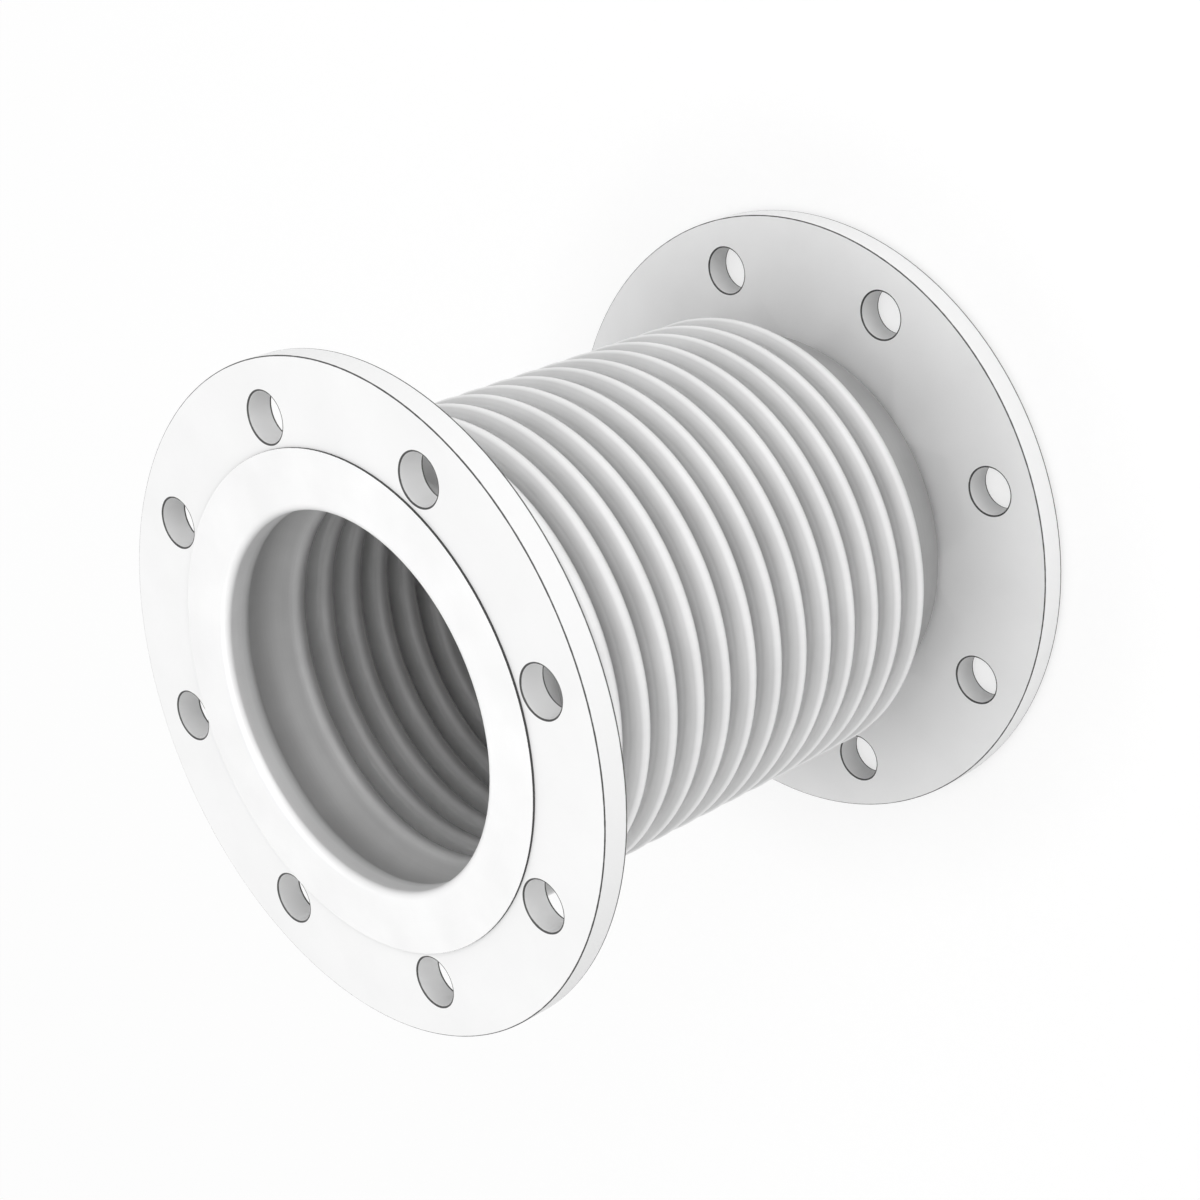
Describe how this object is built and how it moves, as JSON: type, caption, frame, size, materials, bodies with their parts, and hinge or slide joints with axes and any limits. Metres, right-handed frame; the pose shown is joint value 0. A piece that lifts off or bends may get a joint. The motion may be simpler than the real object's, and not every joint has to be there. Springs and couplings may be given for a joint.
{
  "type": "exhaust bellows",
  "caption": "Round corrugated steel bellows with lapped ends and a loose bolting flange on each end, joining two exhaust pipes and taking up their movement.",
  "frame": {"origin": "centre of the lower sealing face, the face of the lower lap, on which the part stands", "axes": "+Z along the bellows' axis, from the lower end to the upper; +X and +Y between bolt holes, because the holes straddle the centre lines"},
  "size_m": [0.24, 0.24, 0.2374],
  "materials": {
    "bellows_steel": "pale satin stainless sheet, with fine forming lines round the axis",
    "flange_coating": "matt off-white coating over turned steel"
  },
  "bodies": {
    "bellows": {"bellows": "bellows_steel"},
    "lower_flange": {"lower_flange": "flange_coating"},
    "upper_flange": {"upper_flange": "flange_coating"}
  },
  "joints": [
    {"name": "lower_flange_swivel", "type": "hinge", "parent": "bellows", "child": "lower_flange", "pos_m": [0, 0, 0.006], "axis": [0, 0, 1], "continuous": true},
    {"name": "bellows_travel", "type": "slide", "parent": "bellows", "child": "upper_flange", "axis": [0, 0, 1], "range_m": [-0.03, 0.015], "stiffness_N_per_m": 85000, "deforming": ["bellows"]}
  ]
}
